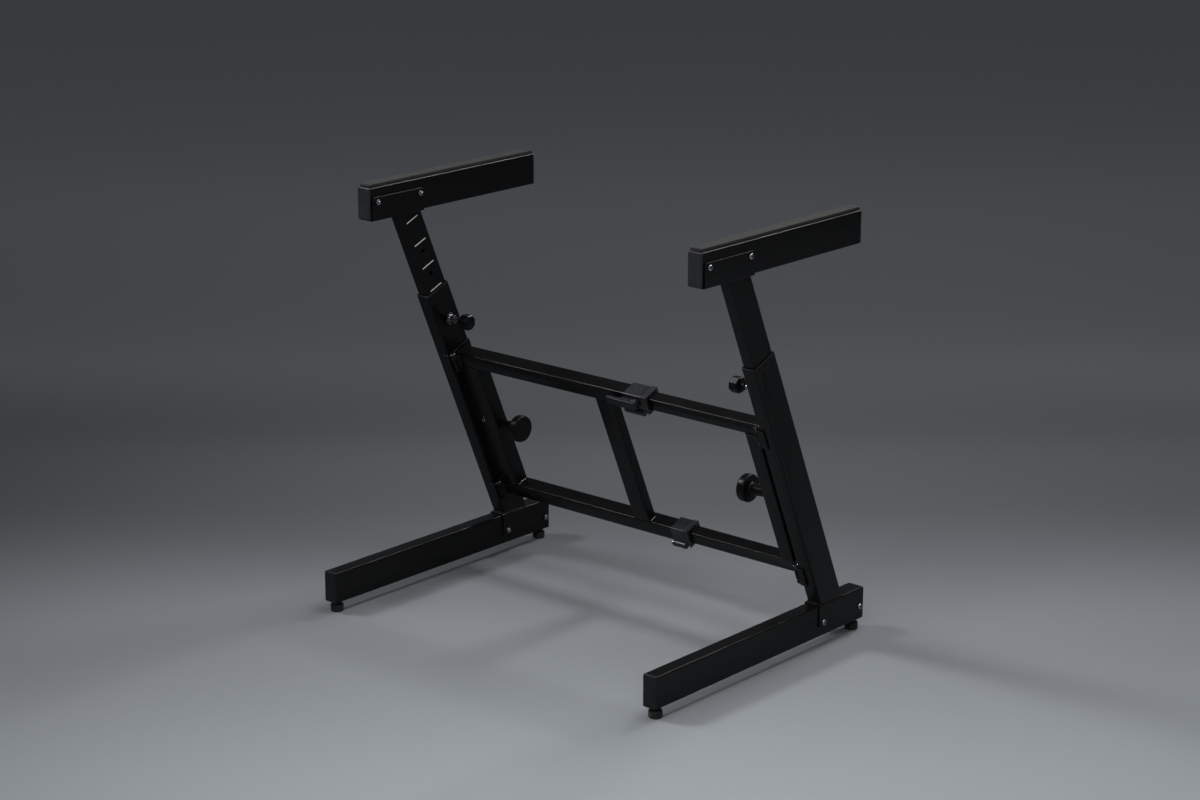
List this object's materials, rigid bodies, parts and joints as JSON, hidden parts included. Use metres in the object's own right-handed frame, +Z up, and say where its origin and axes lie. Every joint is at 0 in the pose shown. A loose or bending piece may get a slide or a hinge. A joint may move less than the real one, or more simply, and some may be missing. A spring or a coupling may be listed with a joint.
{
  "type": "keyboard stand",
  "caption": "Folding keyboard stand with leaning Z-shaped legs, telescoping posts, padded support arms and levelling feet, joined by a width-adjustable tube frame with a cam lever.",
  "frame": {"origin": "on the floor below the middle of the stand, midway between the legs and between the feet's ends", "axes": "+X to the player's right, -Y towards the player, +Z up"},
  "size_m": [0.8272, 0.594, 0.803],
  "materials": {
    "black_steel": "satin powder coat",
    "cap_plastic": "moulded, matte",
    "knob_plastic": "moulded, satin",
    "collar_plastic": "moulded, matte dark blue-grey",
    "lever_plastic": "moulded, satin dark grey",
    "pad_rubber": "soft, matte",
    "foot_rubber": "matte",
    "bright_steel": "zinc plated"
  },
  "bodies": {
    "frame_left": {"cam_lever_pin": "bright_steel", "centre_strut": "black_steel", "collar_screws": "bright_steel", "left_clamp_nut": "bright_steel", "left_lower_bar": "black_steel", "left_side_member": "black_steel", "left_upper_bar": "black_steel", "lower_collar": "collar_plastic", "upper_collar": "collar_plastic"},
    "cam_lever": {"cam_lever": "lever_plastic"},
    "frame_right": {"right_upper_slider": "black_steel", "right_lower_slider": "black_steel", "right_side_member": "black_steel", "right_clamp_nut": "bright_steel"},
    "left_clamp": {"left_clamp_knob": "knob_plastic", "left_clamp_stud": "bright_steel"},
    "left_leg": {"left_foot_tube": "black_steel", "left_foot_caps": "cap_plastic", "left_saddle_bracket": "black_steel", "left_saddle_fasteners": "bright_steel", "left_outer_post": "black_steel", "left_guide_bush": "cap_plastic", "left_plunger_body": "bright_steel", "left_hinge_leaves": "black_steel", "left_hinge_pins": "bright_steel", "left_plunger_spring": "bright_steel"},
    "left_upper": {"left_inner_post": "black_steel", "left_arm_bracket": "black_steel", "left_arm_tube": "black_steel", "left_arm_caps": "cap_plastic", "left_arm_pad": "pad_rubber", "left_arm_fasteners": "bright_steel"},
    "left_plunger": {"left_plunger_pin": "bright_steel", "left_plunger_knob": "knob_plastic"},
    "left_front_foot": {"left_front_levelling_foot": "foot_rubber"},
    "left_rear_foot": {"left_rear_levelling_foot": "foot_rubber"},
    "right_clamp": {"right_clamp_knob": "knob_plastic", "right_clamp_stud": "bright_steel"},
    "right_leg": {"right_foot_tube": "black_steel", "right_foot_caps": "cap_plastic", "right_saddle_bracket": "black_steel", "right_saddle_fasteners": "bright_steel", "right_outer_post": "black_steel", "right_guide_bush": "cap_plastic", "right_plunger_body": "bright_steel", "right_hinge_leaves": "black_steel", "right_hinge_pins": "bright_steel", "right_plunger_spring": "bright_steel"},
    "right_upper": {"right_inner_post": "black_steel", "right_arm_bracket": "black_steel", "right_arm_tube": "black_steel", "right_arm_caps": "cap_plastic", "right_arm_pad": "pad_rubber", "right_arm_fasteners": "bright_steel"},
    "right_plunger": {"right_plunger_pin": "bright_steel", "right_plunger_knob": "knob_plastic"},
    "right_front_foot": {"right_front_levelling_foot": "foot_rubber"},
    "right_rear_foot": {"right_rear_levelling_foot": "foot_rubber"}
  },
  "joints": [
    {"name": "width_slide", "type": "slide", "parent": "frame_left", "child": "frame_right", "axis": [1, 0, 0], "range_m": [-0.2, 0.1]},
    {"name": "cam_lever_swing", "type": "hinge", "parent": "frame_left", "child": "cam_lever", "pos_m": [0.084, 0.02426, 0.42506], "axis": [0, -0.3923, 0.9198], "range_deg": [0, 90]},
    {"name": "left_leg_fold", "type": "hinge", "parent": "frame_left", "child": "left_leg", "pos_m": [-0.368, 0.08454, 0.28117], "axis": [0, -0.3923, 0.9198], "range_deg": [0, 90]},
    {"name": "left_height_slide", "type": "slide", "parent": "left_leg", "child": "left_upper", "axis": [0, -0.3923, 0.9198], "range_m": [-0.153, 0.153]},
    {"name": "left_plunger_pull", "type": "slide", "parent": "left_leg", "child": "left_plunger", "axis": [1, 0, 0], "range_m": [0, 0.007], "stiffness_N_per_m": 800, "springref_m": -0.004, "deforming": ["left_plunger_spring"]},
    {"name": "left_clamp_turn", "type": "hinge", "parent": "frame_left", "child": "left_clamp", "pos_m": [-0.356, 0.10846, 0.29137], "axis": [1, 0, 0], "continuous": true},
    {"name": "left_front_foot_screw", "type": "slide", "parent": "left_leg", "child": "left_front_foot", "axis": [0, 0, -1], "range_m": [0, 0.012]},
    {"name": "left_rear_foot_screw", "type": "slide", "parent": "left_leg", "child": "left_rear_foot", "axis": [0, 0, -1], "range_m": [0, 0.012]},
    {"name": "right_leg_fold", "type": "hinge", "parent": "frame_right", "child": "right_leg", "pos_m": [0.368, 0.08454, 0.28117], "axis": [0, -0.3923, 0.9198], "range_deg": [-90, 0]},
    {"name": "right_height_slide", "type": "slide", "parent": "right_leg", "child": "right_upper", "axis": [0, -0.3923, 0.9198], "range_m": [-0.153, 0.153]},
    {"name": "right_plunger_pull", "type": "slide", "parent": "right_leg", "child": "right_plunger", "axis": [-1, 0, 0], "range_m": [0, 0.007], "stiffness_N_per_m": 800, "springref_m": -0.004, "deforming": ["right_plunger_spring"]},
    {"name": "right_clamp_turn", "type": "hinge", "parent": "frame_right", "child": "right_clamp", "pos_m": [0.356, 0.10846, 0.29137], "axis": [-1, 0, 0], "continuous": true},
    {"name": "right_front_foot_screw", "type": "slide", "parent": "right_leg", "child": "right_front_foot", "axis": [0, 0, -1], "range_m": [0, 0.012]},
    {"name": "right_rear_foot_screw", "type": "slide", "parent": "right_leg", "child": "right_rear_foot", "axis": [0, 0, -1], "range_m": [0, 0.012]}
  ]
}
